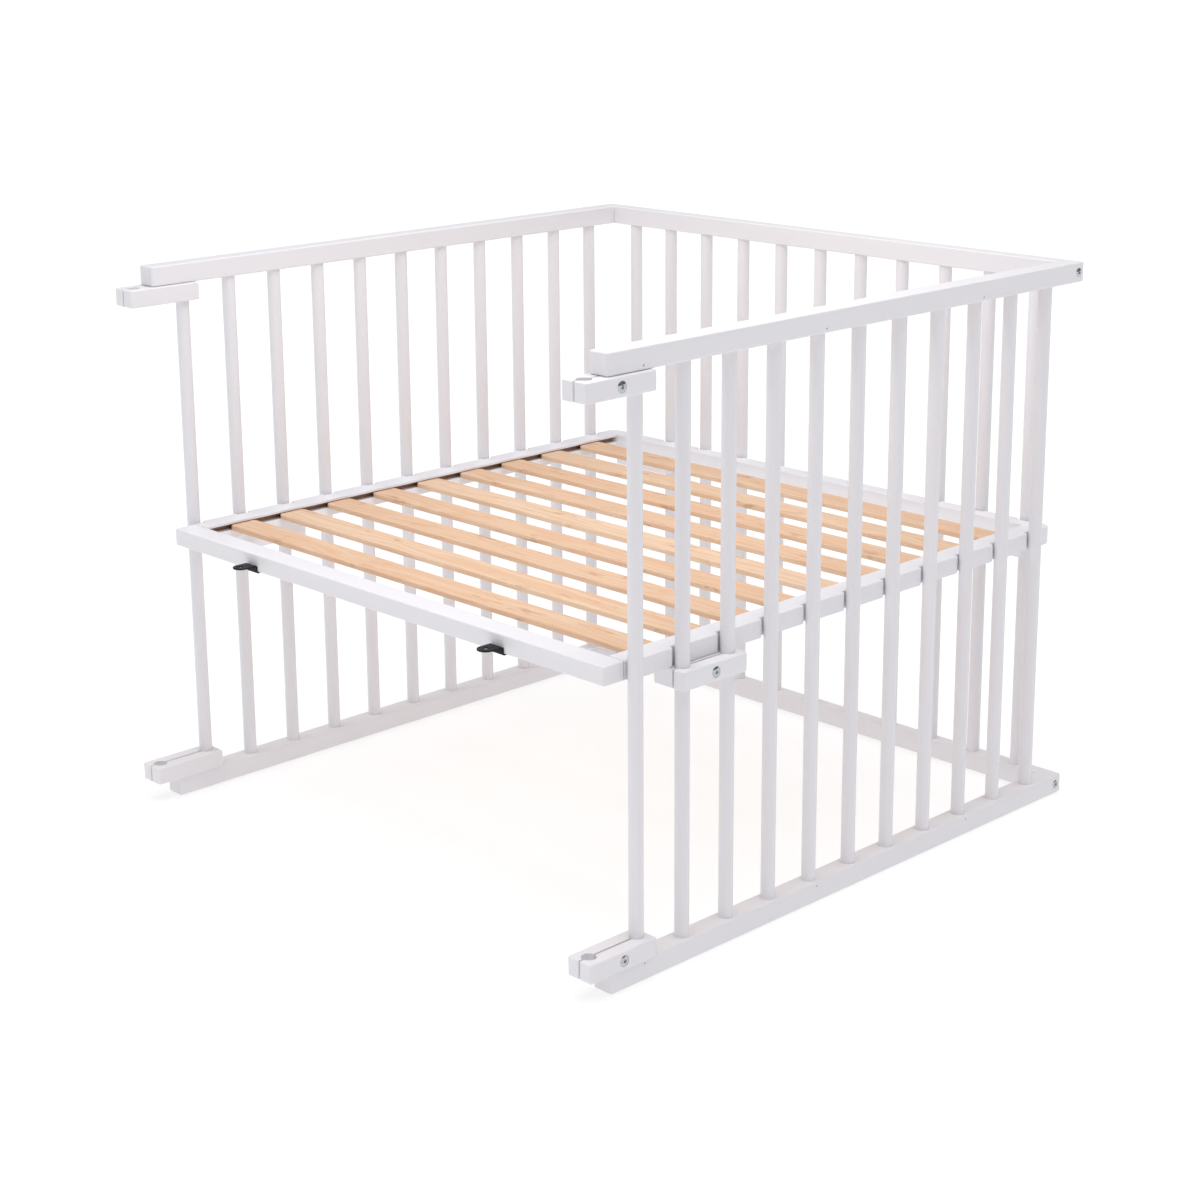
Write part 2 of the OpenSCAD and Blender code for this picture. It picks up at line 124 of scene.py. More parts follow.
def group(name, inputs, outputs):
    """An empty shader group with named sockets, its graph, and its two end nodes."""
    tree = bpy.data.node_groups.new(name, "ShaderNodeTree")
    for label, kind, value in inputs:
        socket = tree.interface.new_socket(name=label, in_out="INPUT", socket_type="NodeSocket" + kind)
        if value is not None:
            socket.default_value = value
    for label, kind in outputs:
        tree.interface.new_socket(name=label, in_out="OUTPUT", socket_type="NodeSocket" + kind)
    g = Graph(tree)
    return g, g.add("NodeGroupInput").outputs, g.add("NodeGroupOutput").inputs


def broken_edges_group():
    """Mask of the outer edges, broken up by noise. It draws the edges lighter; on the lacquer that is
    partly a painted highlight.
    """
    g, given, out = group("broken_edges", [("Vector", "Vector", None), ("Breakup", "Float", 60.0)],
                          [("Mask", "Float")])
    edges = g.ramp(g.add("ShaderNodeNewGeometry").outputs["Pointiness"], 0.53, 0.62)
    broken = g.ramp(g.noise(given["Vector"], given["Breakup"], 4.0), 0.42, 0.62)
    g.tree.links.new(g.math("MULTIPLY", edges, broken), out["Mask"])
    return g.tree


def surface_grain_group():
    """Fine grain drawn out along one direction, for brushed lacquer and for planed wood."""
    g, given, out = group("surface_grain", [("Vector", "Vector", None), ("Scale", "Float", 40.0),
                                            ("Cloud", "Float", 9.0)],
                          [("Grain", "Float"), ("Cloud", "Float")])
    grain = g.noise(given["Vector"], given["Scale"], 5.0, 0.6)
    cloud = g.noise(given["Vector"], given["Cloud"], 2.0, 0.5)
    g.tree.links.new(grain, out["Grain"])
    g.tree.links.new(cloud, out["Cloud"])
    return g.tree


BROKEN_EDGES = broken_edges_group()
SURFACE_GRAIN = surface_grain_group()


def new_material(name, **constants):
    """A material, its graph, its shader node and the object coordinates."""
    material = bpy.data.materials.new(name)
    material.use_nodes = True
    shader = material.node_tree.nodes["Principled BSDF"]
    for key, value in constants.items():
        shader.inputs[key.replace("_", " ")].default_value = value
    g = Graph(material.node_tree)
    return material, g, shader, g.add("ShaderNodeTexCoord").outputs["Object"]


def bump(g, shader, height, strength, distance):
    node = g.add("ShaderNodeBump", {"Height": height, "Strength": strength, "Distance": distance})
    g.tree.links.new(node.outputs["Normal"], shader.inputs["Normal"])


def use_group(g, tree, inputs):
    """A shared shader group placed in a material with its own values."""
    return g.add("ShaderNodeGroup", inputs, node_tree=tree).outputs


GRAIN_STRETCH = {"x": (0.06, 1, 1), "y": (1, 0.06, 1), "z": (1, 1, 0.06)}


def white_lacquer(along):
    """Sprayed satin lacquer on beech whose grain, just showing through, runs along one axis."""
    material, g, shader, place = new_material(
        "white_lacquer_" + along, Specular_IOR_Level=0.5, Coat_Roughness=0.2, IOR=1.5)
    skin = use_group(g, SURFACE_GRAIN, {"Vector": g.stretch(place, GRAIN_STRETCH[along]),
                                        "Scale": 260.0, "Cloud": 14.0})
    edge_mask = use_group(g, BROKEN_EDGES, {"Vector": place, "Breakup": 90.0})["Mask"]
    tone = g.ramp(skin["Cloud"], 0.3, 0.7)
    paint = g.mix(tone, (0.795, 0.78, 0.815, 1), (0.825, 0.812, 0.845, 1))
    # Along the rounded edges the paint is drawn a little warmer, where it is thin, and lighter: a painted
    # highlight.
    paint = g.mix(g.math("MULTIPLY", edge_mask, 0.25), paint, (0.84, 0.83, 0.81, 1))
    g.tree.links.new(paint, shader.inputs["Base Color"])
    g.tree.links.new(g.ramp(skin["Grain"], 0.3, 0.7, 0.36, 0.46), shader.inputs["Roughness"])
    peel = g.noise(place, 900.0, 2.0)
    height = g.math("ADD", g.math("MULTIPLY", skin["Grain"], 0.8), g.math("MULTIPLY", peel, 0.3))
    bump(g, shader, height, 0.18, 0.0004)
    return material


def timber(name, light, dark, first_y, pitch):
    """Bare planed wood whose grain runs along X. Each board is cut from another part of the plank."""
    material, g, shader, place = new_material(name, Specular_IOR_Level=0.35, Coat_Roughness=0.3)
    axes = g.add("ShaderNodeSeparateXYZ", {"Vector": place}).outputs
    board = g.math("FLOOR", g.math("DIVIDE", g.math("SUBTRACT", axes["Y"], first_y), pitch))
    chance = g.add("ShaderNodeTexWhiteNoise", {"W": board}, noise_dimensions="1D").outputs
    shift = g.add("ShaderNodeVectorMath", {0: chance["Color"], 1: (7.0, 3.0, 5.0)},
                  operation="MULTIPLY").outputs[0]
    cut = g.add("ShaderNodeVectorMath", {0: place, 1: shift}, operation="ADD").outputs[0]

    # Growth rings, drawn out along the board and bent by slow noise.
    bend = g.noise(g.stretch(cut, (0.9, 6, 6)), 3.0, 2.0)
    lifted = g.add("ShaderNodeCombineXYZ", {"Y": g.math("MULTIPLY", bend, 0.10)}).outputs[0]
    wavy = g.add("ShaderNodeVectorMath", {0: cut, 1: lifted}, operation="ADD").outputs[0]
    rings = g.add("ShaderNodeTexWave", {"Vector": g.stretch(wavy, (0.12, 1, 0.5)), "Scale": 22.0,
                                        "Distortion": 2.2, "Detail": 3.0, "Detail Scale": 1.4},
                  bands_direction="Y", wave_profile="SIN").outputs["Fac"]
    fibre = use_group(g, SURFACE_GRAIN, {"Vector": g.stretch(cut, (0.03, 1, 1)), "Scale": 420.0,
                                         "Cloud": 30.0})

    # A few small knots, each with a dark heart.
    cells = g.add("ShaderNodeTexVoronoi", {"Vector": g.stretch(cut, (4.5, 12, 0.01)), "Scale": 1.0,
                                           "Randomness": 1.0}).outputs
    knot = g.ramp(cells["Distance"], 0.01, 0.07, 1.0, 0.0)
    chosen = g.ramp(g.add("ShaderNodeSeparateColor", {"Color": cells["Color"]}).outputs[0], 0.50, 0.52)
    knot = g.math("MULTIPLY", knot, chosen)

    figure = g.math("ADD", g.math("MULTIPLY", rings, 0.26), g.math("MULTIPLY", fibre["Grain"], 0.5))
    figure = g.math("ADD", figure, g.math("MULTIPLY", fibre["Cloud"], 0.45))
    wood = g.mix(g.ramp(figure, 0.35, 0.85), light, dark)
    wood = g.mix(g.ramp(chance["Value"], 0.0, 1.0, 0.0, 0.4), wood, (0.66, 0.39, 0.24, 1))
    wood = g.mix(g.math("MULTIPLY", knot, 0.75), wood, (0.36, 0.17, 0.08, 1))
    fleck = g.ramp(g.noise(g.stretch(cut, (0.25, 1, 1)), 60.0, 4.0, 0.7), 0.59, 0.68)
    wood = g.mix(g.math("MULTIPLY", fleck, 0.55), wood, (0.40, 0.21, 0.11, 1))
    edge_mask = use_group(g, BROKEN_EDGES, {"Vector": place, "Breakup": 120.0})["Mask"]
    wood = g.mix(g.math("MULTIPLY", edge_mask, 0.3), wood, light)
    g.tree.links.new(wood, shader.inputs["Base Color"])
    g.tree.links.new(g.ramp(fibre["Grain"], 0.3, 0.7, 0.48, 0.62), shader.inputs["Roughness"])
    bump(g, shader, g.math("ADD", fibre["Grain"], g.math("MULTIPLY", rings, 0.4)), 0.3, 0.0004)
    return material


def metal(name, colour, roughness, metallic, patch_tone=0.5, scratch=500.0):
    """Plated or coated steel with fine scratches and patchy darker tone: painted dark reflections on the
    bright plating, a mottle on the other finishes.
    """
    gloss = 0.5 if metallic else 0.2
    material, g, shader, place = new_material(name, Metallic=metallic, Specular_IOR_Level=gloss)
    skin = use_group(g, SURFACE_GRAIN, {"Vector": place, "Scale": scratch, "Cloud": 120.0})
    edge_mask = use_group(g, BROKEN_EDGES, {"Vector": place, "Breakup": 300.0})["Mask"]
    # Cloud noise darkens the colour in patches. On the bright plating these are painted dark reflections
    # of the studio; on the other finishes they are a mottle.
    shade = tuple(c * patch_tone for c in colour[:3]) + (1,)
    bright = tuple(min(1.0, c * 1.5 + 0.01) for c in colour[:3]) + (1,)
    tint = g.mix(g.ramp(skin["Cloud"], 0.35, 0.65, 0.0, 0.35), colour, shade)
    tint = g.mix(g.math("MULTIPLY", edge_mask, 0.6), tint, bright)
    g.tree.links.new(tint, shader.inputs["Base Color"])
    polish = g.ramp(skin["Grain"], 0.3, 0.7, roughness, roughness * 1.7)
    g.tree.links.new(polish, shader.inputs["Roughness"])
    bump(g, shader, skin["Grain"], 0.12, 0.0001)
    return material


slat_lo, slat_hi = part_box("slat_1")
SLATS = 9
next_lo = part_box("slat_2")[0]
last_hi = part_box(f"slat_{SLATS}")[1]
SLAT_PITCH = next_lo.y - slat_lo.y
FIRST_BOARD = slat_lo.y - (SLAT_PITCH - (slat_hi.y - slat_lo.y)) / 2

LACQUER = {axis: white_lacquer(axis) for axis in "xyz"}
SLAT_WOOD = timber("slat_wood", (0.79, 0.60, 0.44, 1), (0.70, 0.43, 0.27, 1), FIRST_BOARD, SLAT_PITCH)
# Bare wood inside the slats' grooves, drawn far darker than the slats' wood: its own colour together with
# painted shade of the deep groove.
GROOVE_WOOD_AND_SHADE = timber("groove_wood_and_shade", (0.40, 0.25, 0.18, 1), (0.28, 0.16, 0.11, 1), -1.0, 5.0)
DOWEL_WOOD = timber("dowel_wood", (0.80, 0.63, 0.44, 1), (0.70, 0.50, 0.32, 1), -1.0, 5.0)
PLATED = metal("bright_plating", (0.52, 0.54, 0.57, 1), 0.08, 1.0)
NAIL_STEEL = metal("nail_steel", (0.30, 0.29, 0.30, 1), 0.35, 1.0)
BLACK_STEEL = metal("black_coated_steel", (0.006, 0.0055, 0.0065, 1), 0.34, 0.0, 0.7, 260.0)
GLIDE_PLASTIC = metal("glide_plastic", (0.05, 0.05, 0.052, 1), 0.5, 0.0, 0.8, 200.0)


# ---- Making and finishing pieces ----

def mesh_object(name, bm, materials=()):
    mesh = bpy.data.meshes.new(name)
    bm.to_mesh(mesh)
    bm.free()
    obj = bpy.data.objects.new(name, mesh)
    collection.objects.link(obj)
    for material in materials:
        mesh.materials.append(material)
    return obj


def settled(obj):
    """The object with its modifiers worked into its mesh."""
    graph = bpy.context.evaluated_depsgraph_get()
    graph.update()
    mesh = bpy.data.meshes.new_from_object(obj.evaluated_get(graph), depsgraph=graph)
    obj.modifiers.clear()
    obj.data = mesh
    return obj


def remove(obj):
    bpy.data.objects.remove(obj)


def soften(obj, width, segments=3, angle=40, by_weight=False):
    bevel = obj.modifiers.new("ease", "BEVEL")
    bevel.width = width
    bevel.segments = segments
    bevel.limit_method = "WEIGHT" if by_weight else "ANGLE"
    bevel.angle_limit = math.radians(angle)


def cut_with(obj, cutter):
    boolean = obj.modifiers.new("cut", "BOOLEAN")
    boolean.operation = "DIFFERENCE"
    boolean.solver = "EXACT"
    boolean.material_mode = "TRANSFER"
    boolean.object = cutter


def smooth(obj, angle=35):
    """Smooth shading over the roundings, with the broad faces kept flat."""
    obj.data.shade_smooth()
    obj.data.set_sharp_from_angle(angle=math.radians(angle))
    flatten = obj.modifiers.new("flat_faces", "WEIGHTED_NORMAL")
    flatten.keep_sharp = True
    flatten.weight = 80
    return settled(obj)


def hand_over(obj, body, slot, *nodes):
    """Puts a finished piece on its body, in place of the nodes that it stands for."""
    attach(obj, body)
    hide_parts(*nodes)
    return obj


def arc(cx, cy, radius, start, end, steps):
    """Points on an arc, angles in degrees, both ends included."""
    angles = [math.radians(start + (end - start) * i / steps) for i in range(steps + 1)]
    return [(cx + radius * math.cos(a), cy + radius * math.sin(a)) for a in angles]


def prism(outline, z0, z1, weights, corner):
    """A bmesh raised from a counter-clockwise outline, with bevel weights for the rims and corners."""
    bm = bmesh.new()
    layer = bm.edges.layers.float.new("bevel_weight_edge")
    low = [bm.verts.new((x, y, z0)) for x, y in outline]
    high = [bm.verts.new((x, y, z1)) for x, y in outline]
    bm.faces.new(low[::-1])
    bm.faces.new(high)
    count = len(outline)
    for i in range(count):
        j = (i + 1) % count
        bm.faces.new((low[i], low[j], high[j], high[i]))
    for i in range(count):
        j = (i + 1) % count
        for pair in ((low[i], low[j]), (high[i], high[j])):
            bm.edges.get(pair)[layer] = weights[i]
        before = Vector(outline[i]) - Vector(outline[i - 1])
        after = Vector(outline[j]) - Vector(outline[i])
        if before.angle(after, 0.0) > math.radians(40):
            bm.edges.get((low[i], high[i]))[layer] = corner
    return bm


def turned(profile, steps=48):
    """A bmesh turned about Z from (radius, z) points that run from the bottom to the top."""
    bm = bmesh.new()
    rings = []
    for radius, z in profile:
        if radius == 0:
            rings.append([bm.verts.new((0, 0, z))])
            continue
        rings.append([bm.verts.new((radius * math.cos(2 * math.pi * i / steps),
                                    radius * math.sin(2 * math.pi * i / steps), z))
                      for i in range(steps)])
    for low, high in zip(rings, rings[1:]):
        for i in range(steps):
            j = (i + 1) % steps
            corners = [low[i % len(low)], low[j % len(low)], high[j % len(high)], high[i % len(high)]]
            face = list(dict.fromkeys(corners))
            if len(face) > 2:
                bm.faces.new(face)
    if len(rings[0]) > 1:
        bm.faces.new(rings[0][::-1])
    if len(rings[-1]) > 1:
        bm.faces.new(rings[-1])
    return bm


def block(lo, hi):
    """A bmesh box between two corners."""
    bm = bmesh.new()
    bmesh.ops.create_cube(bm, size=1)
    size = Vector(hi) - Vector(lo)
    bmesh.ops.scale(bm, vec=size, verts=bm.verts)
    bmesh.ops.translate(bm, vec=(Vector(lo) + Vector(hi)) / 2, verts=bm.verts)
    return bm


def merged(parts):
    """One bmesh from several."""
    whole = bmesh.new()
    for bm in parts:
        mesh = bpy.data.meshes.new("part")
        bm.to_mesh(mesh)
        bm.free()
        whole.from_mesh(mesh)
        bpy.data.meshes.remove(mesh)
    return whole


def moved(bm, matrix):
    """The bmesh taken to its place. A mirroring matrix keeps the faces pointing outwards."""
    bmesh.ops.transform(bm, matrix=matrix, verts=bm.verts)
    if matrix.determinant() < 0:
        bmesh.ops.reverse_faces(bm, faces=bm.faces)
    return bm


TO_X = Matrix.Rotation(math.radians(90), 4, "Y")       # turns +Z to +X
MIRROR_X = Matrix.Diagonal((-1, 1, 1, 1))


def side_matrix(side):
    return MIRROR_X.copy() if side < 0 else Matrix.Identity(4)


# ---- Geometry Nodes for what repeats ----

def geometry_tree(name, inputs):
    """An empty Geometry Nodes tree with named inputs, its graph, and its two end nodes."""
    tree = bpy.data.node_groups.new(name, "GeometryNodeTree")
    for label, kind in inputs:
        tree.interface.new_socket(name=label, in_out="INPUT", socket_type="NodeSocket" + kind)
    tree.interface.new_socket(name="Geometry", in_out="OUTPUT", socket_type="NodeSocketGeometry")
    g = Graph(tree)
    return g, g.add("NodeGroupInput").outputs, g.add("NodeGroupOutput").inputs


def row_tree():
    """Copies of one part at even steps along a line."""
    g, given, out = geometry_tree("row_of_parts", [
        ("Part", "Object"), ("Count", "Int"), ("Start", "Vector"), ("Step", "Vector"),
        ("Finish", "Material")])
    line = g.add("GeometryNodeMeshLine", {"Count": given["Count"], "Start Location": given["Start"],
                                          "Offset": given["Step"]}, mode="OFFSET")
    part = g.add("GeometryNodeObjectInfo", {"Object": given["Part"]}, transform_space="ORIGINAL")
    copies = g.add("GeometryNodeInstanceOnPoints", {"Points": line.outputs["Mesh"],
                                                    "Instance": part.outputs["Geometry"]})
    solid = g.add("GeometryNodeRealizeInstances", {"Geometry": copies.outputs["Instances"]})
    finish = g.add("GeometryNodeSetMaterial", {"Geometry": solid.outputs["Geometry"],
                                               "Material": given["Finish"]})
    g.tree.links.new(finish.outputs["Geometry"], out["Geometry"])
    return g.tree


def slat_tree():
    """Flat boards with rounded ends, laid side by side at even steps."""
    g, given, out = geometry_tree("slat_row", [
        ("Count", "Int"), ("Start", "Vector"), ("Step", "Vector"), ("Length", "Float"), ("Width", "Float"),
        ("Thickness", "Float"), ("End Radius", "Float"), ("Finish", "Material")])
    outline = g.add("GeometryNodeCurvePrimitiveQuadrilateral", {"Width": given["Length"],
                                                                "Height": given["Width"]})
    rounded = g.add("GeometryNodeFilletCurve", {"Curve": outline.outputs[0], "Count": 6,
                                                "Radius": given["End Radius"]}, mode="POLY")
    face = g.add("GeometryNodeFillCurve", {"Curve": rounded.outputs[0]}, mode="NGONS")
    raised = g.add("GeometryNodeExtrudeMesh", {"Mesh": face.outputs[0],
                                               "Offset Scale": given["Thickness"]}, mode="FACES")
    under = g.add("GeometryNodeFlipFaces", {"Mesh": face.outputs[0]})
    both = g.add("GeometryNodeJoinGeometry")
    g.tree.links.new(raised.outputs["Mesh"], both.inputs[0])
    g.tree.links.new(under.outputs[0], both.inputs[0])
    closed = g.add("GeometryNodeMergeByDistance", {"Geometry": both.outputs[0], "Distance": 0.00001})
    line = g.add("GeometryNodeMeshLine", {"Count": given["Count"], "Start Location": given["Start"],
                                          "Offset": given["Step"]}, mode="OFFSET")
    copies = g.add("GeometryNodeInstanceOnPoints", {"Points": line.outputs["Mesh"],
                                                    "Instance": closed.outputs[0]})
    solid = g.add("GeometryNodeRealizeInstances", {"Geometry": copies.outputs["Instances"]})
    finish = g.add("GeometryNodeSetMaterial", {"Geometry": solid.outputs["Geometry"],
                                               "Material": given["Finish"]})
    g.tree.links.new(finish.outputs["Geometry"], out["Geometry"])
    return g.tree


ROW = row_tree()
SLAT_ROW = slat_tree()


def grown(name, tree, values):
    """A plain mesh object from a Geometry Nodes tree and its named inputs."""
    obj = bpy.data.objects.new(name, bpy.data.meshes.new(name))
    collection.objects.link(obj)
    modifier = obj.modifiers.new("grow", "NODES")
    modifier.node_group = tree
    for item in tree.interface.items_tree:
        if item.in_out == "INPUT":
            modifier[item.identifier] = values[item.name]
    return settled(obj)


def row(name, part, count, start, step, finish):
    """A plain mesh of a part's copies, the first one at start."""
    return grown(name, ROW, {"Part": part, "Count": count, "Start": start, "Step": step,
                             "Finish": finish})


# ---- Panels ----

NAILS = 3                        # in each side rail
NAIL_STEP = 4 * SIDE_PITCH
NAIL_INSET = 6 * MM              # from the rail's inner edge
NAIL_SUNK = 1.2 * MM             # depth of a nail's hole as seen
NAIL_HOLE_R = 1.3 * MM
NAIL_CUT = 6 * MM                # length of the cutter for a nail's hole
NAIL_Z = {"bottom": foot_hi.z - NAIL_INSET, "top": rail_lo.z + NAIL_INSET}
CORNER_SEAT = rail_hi.x + PROUD - HEAD_H
OPEN_END = 10 * MM               # how far a sink's cutter runs past its seat


def rail_cutter(side, z_mid, nail_z):
    """Sinks for the corner bolt's head and for the nails, in the outer face of a side rail."""
    sink = turned([(CORNER_HEAD_R + SLIP, 0), (CORNER_HEAD_R + SLIP, OPEN_END)])
    parts = [moved(sink, Matrix.Translation((CORNER_SEAT, BACK_Y, z_mid)) @ TO_X)]
    for i in range(NAILS):
        hole = turned([(NAIL_HOLE_R, 0), (NAIL_HOLE_R, NAIL_CUT)], 20)
        place = Matrix.Translation((rail_hi.x - NAIL_SUNK, FIRST_Y + i * NAIL_STEP, nail_z))
        parts.append(moved(hole, place @ TO_X))
    return mesh_object("sinks", moved(merged(parts), side_matrix(side)))


def side_rail(side, word, level):
    """A side panel's rail, rounded all round, with its sinks."""
    name = f"{word}_{level}_rail"
    lo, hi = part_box(name)
    rail = mesh_object(name + "_wood", block(lo, hi), [LACQUER["y"]])
    soften(rail, SOFT, 4)
    settled(rail)
    cutter = rail_cutter(side, (lo.z + hi.z) / 2, NAIL_Z[level])
    cut_with(rail, cutter)
    settled(rail)
    remove(cutter)
    return hand_over(smooth(rail), "panels", "white_lacquer", name)


def back_rail(level):
    """A rail of the back panel, butted between the side rails."""
    name = f"back_{level}_rail"
    lo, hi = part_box(name)
    rail = mesh_object(name + "_wood", block(lo, hi), [LACQUER["x"]])
    soften(rail, SOFT * 0.8, 4)
    settled(rail)
    return hand_over(smooth(rail), "panels", "white_lacquer", name)


def spindle_part():
    """One turned bar with a tenon and a small chamfer at each end."""
    z0, z1 = foot_hi.z, rail_lo.z
    tenon_r, tenon = 7 * MM, 16 * MM
    ease = 0.6 * MM
    profile = [(tenon_r - ease, z0 - tenon), (tenon_r, z0 - tenon + ease), (tenon_r, z0 - ease),
               (SPINDLE_R - ease, z0 - ease), (SPINDLE_R, z0)]
    profile += [(SPINDLE_R, z0 + (z1 - z0) * i / 8) for i in range(1, 8)]
    profile += [(SPINDLE_R, z1), (SPINDLE_R - ease, z1 + ease), (tenon_r, z1 + ease),
                (tenon_r, z1 + tenon - ease), (tenon_r - ease, z1 + tenon)]
    return mesh_object("spindle_part", turned(profile, 40))


def panels():
    """The three panels: their rails and their rows of spindles."""
    for side, word in SIDES:
        for level in LEVELS:
            side_rail(side, word, level)
    for level in LEVELS:
        back_rail(level)

    part = spindle_part()
    for side, word in SIDES:
        x = side * LINE_X
        many = row(f"{word}_spindle_row", part, SPINDLES - 1, (x, FIRST_Y + SIDE_PITCH, 0),
                   (0, SIDE_PITCH, 0), LACQUER["z"])
        hand_over(smooth(many), "panels", "white_lacquer", f"{word}_spindles")
        first = row(f"{word}_hinge_spindle", part, 1, (x, FIRST_Y, 0), (0, 0, 0), LACQUER["z"])
        hand_over(smooth(first), "panels", "white_lacquer", f"{word}_front_spindle")
    half_back = BACK_PITCH * (SPINDLES - 1) / 2
    many = row("back_spindle_row", part, SPINDLES, (-half_back, BACK_Y, 0), (BACK_PITCH, 0, 0),
               LACQUER["z"])
    hand_over(smooth(many), "panels", "white_lacquer", "back_spindles")
    remove(part)


def nails():
    """Nails with dished heads, sunk a little below the rails' outer faces."""
    profile = [(0.5 * MM, -22 * MM), (0.8 * MM, -20 * MM), (0.8 * MM, -1.1 * MM),
               (1.25 * MM, -1.0 * MM), (1.25 * MM, -0.55 * MM), (1.0 * MM, -0.45 * MM), (0, -0.6 * MM)]
    sets = []
    for side, _ in SIDES:
        nail = mesh_object("nail_part", moved(turned(profile, 20), side_matrix(side) @ TO_X))
        for level in LEVELS:
            sets.append(row("nail_row", nail, NAILS, (side * rail_hi.x, FIRST_Y, NAIL_Z[level]),
                            (0, NAIL_STEP, 0), NAIL_STEEL))
        remove(nail)
    hand_over(joined("sunk_nails", sets, NAIL_STEEL), "panels", "plated_steel", "spindle_nails")


def joined(name, objects, material):
    """One piece from several plain meshes of the same material."""
    whole = bmesh.new()
    for obj in objects:
        whole.from_mesh(obj.data)
        remove(obj)
    return smooth(mesh_object(name, whole, [material]))


def glides():
    """Round pads with an eased lower rim under the side rails."""
    pads = 3
    step = (SPINDLES - 1) / 2 * SIDE_PITCH
    radius, height = 7.5 * MM, foot_lo.z
    pad = mesh_object("pad_part", turned([(radius - 0.7 * MM, 0), (radius - 0.1 * MM, 0.4 * MM),
                                          (radius, 0.9 * MM), (radius, height)], 32))
    sets = [row("pad_row", pad, pads, (side * LINE_X, FIRST_Y, 0), (0, step, 0), GLIDE_PLASTIC)
            for side, _ in SIDES]
    remove(pad)
    hand_over(joined("floor_pads", sets, GLIDE_PLASTIC), "panels", "glide_plastic", "glides")


# ---- Bolts ----

CORNER_BOLT = 60 * MM            # lengths under the head
FRONT_BOLT = 31 * MM
BEARER_BOLT = 29 * MM
SOCKET_R = 2.9 * MM
SOCKET_DEEP = 2.4 * MM
DOME = 2.5                       # radius of a head's dome, in head radii


def bolt_part(head_r, length):
    """A domed bolt along +X with its head's seat at x = 0, a flange rim and a hexagon socket."""
    dome = DOME * head_r
    profile = [(0, -length), (BOLT_R - 0.5 * MM, -length), (BOLT_R, -length + 0.7 * MM),
               (BOLT_R, -0.2 * MM), (head_r - 0.3 * MM, 0), (head_r, 0.3 * MM)]
    rim = HEAD_H - dome + math.sqrt(dome ** 2 - (0.96 * head_r) ** 2)
    profile += [(head_r, rim - 0.4 * MM)]
    for share in (0.985, 0.96, 0.85, 0.7, 0.55, 0.42):
        profile.append((head_r * share, HEAD_H - dome + math.sqrt(dome ** 2 - (head_r * share) ** 2)))
    profile.append((0, HEAD_H))
    bolt = mesh_object("bolt_part", moved(turned(profile, 64), TO_X))
    socket = turned([(SOCKET_R, HEAD_H - SOCKET_DEEP), (SOCKET_R, HEAD_H + 1 * MM)], 6)
    cutter = mesh_object("socket", moved(socket, TO_X))
    cut_with(bolt, cutter)
    settled(bolt)
    remove(cutter)
    return bolt


def placed_copies(name, part, matrices, material):
    """One piece of several copies of a part, each at its matrix."""
    whole = []
    for matrix in matrices:
        bm = bmesh.new()
        bm.from_mesh(part.data)
        whole.append(moved(bm, matrix))
    return smooth(mesh_object(name, merged(whole), [material]), 30)


def corner_bolts():
    """The four bolts that draw the side rails against the back rails."""
    part = bolt_part(CORNER_HEAD_R, CORNER_BOLT)
    places = []
    for side, _ in SIDES:
        for lo, hi in ((rail_lo, rail_hi), (foot_lo, foot_hi)):
            seat = Vector((CORNER_SEAT, BACK_Y, (lo.z + hi.z) / 2))
            places.append(side_matrix(side) @ Matrix.Translation(seat))
    bolts = placed_copies("corner_connector_bolts", part, places, PLATED)
    hand_over(bolts, "panels", "plated_steel", "corner_bolts")
    remove(part)


# ---- Clamps ----

CLAMP_CORNER = 3 * MM
CLAMP_END = 17 * MM              # from a spindle's middle line to the clamp's end
FRONT_HALF_W = 19.5 * MM
BEARER_INNER_W = 33 * MM         # the inner half carries the base
BEARER_OUTER_W = 18 * MM
NUT_ROOM_R = 5.85 * MM
NUT_ROOM_DEEP = 5 * MM
BLIND_END = 13 * MM              # bottom of the inner half's bore, from the saw cut
SAWN = 0.28                      # share of the rounding on sawn and bored rims


def clamp_outline(width, pitch, length):
    """The outer half of a clamp in plan, and the rim weight of each stretch."""
    points, weights = [], []

    def run(new, weight):
        points.extend(new)
        weights.extend([weight] * len(new))

    x1, end, r = GAP + width, length / 2, CLAMP_CORNER
    bite = math.degrees(math.acos(GAP / BORE_R))
    run([(GAP, -end)], 1.0)
    run(arc(x1 - r, -end + r, r, -90, 0, 6), 1.0)
    run(arc(x1 - r, end - r, r, 0, 90, 6), 1.0)
    run([(GAP, end)], SAWN)
    run(arc(0, pitch / 2, BORE_R, bite, -bite, 24), SAWN)
    run(arc(0, -pitch / 2, BORE_R, bite, -bite, 24), SAWN)
    return points, weights


def clamp_half(name, width, pitch, lo, hi, place, sink, along):
    """One half of a clamp, bored for its bolt, taken to its place."""
    points, weights = clamp_outline(width, pitch, pitch + 2 * CLAMP_END)
    half = mesh_object(name, moved(prism(points, lo, hi, weights, SAWN), place), [LACQUER[along]])
    soften(half, SOFT, 4, by_weight=True)
    settled(half)
    bolt_line = place @ Matrix.Translation((0, 0, (lo + hi) / 2)) @ TO_X
    drill = mesh_object("drill", moved(turned(sink), bolt_line))
    cut_with(half, drill)
    settled(half)
    remove(drill)
    return smooth(half)


def outer_sink(width):
    """Stepped bore of an outer half: clearance hole and the sink of the bolt's head."""
    floor = GAP + width + PROUD - HEAD_H
    return [(BOLT_R + SLIP, -5 * MM), (BOLT_R + SLIP, floor), (CLAMP_HEAD_R + SLIP, floor),
            (CLAMP_HEAD_R + SLIP, floor + 12 * MM)]


def inner_sink():
    """Stepped bore of an inner half, in the half's own mirrored direction: pocket and blind hole."""
    floor = GAP + NUT_ROOM_DEEP
    return [(NUT_ROOM_R, -5 * MM), (NUT_ROOM_R, floor), (BOLT_R + SLIP, floor),
            (BOLT_R + SLIP, GAP + BLIND_END)]


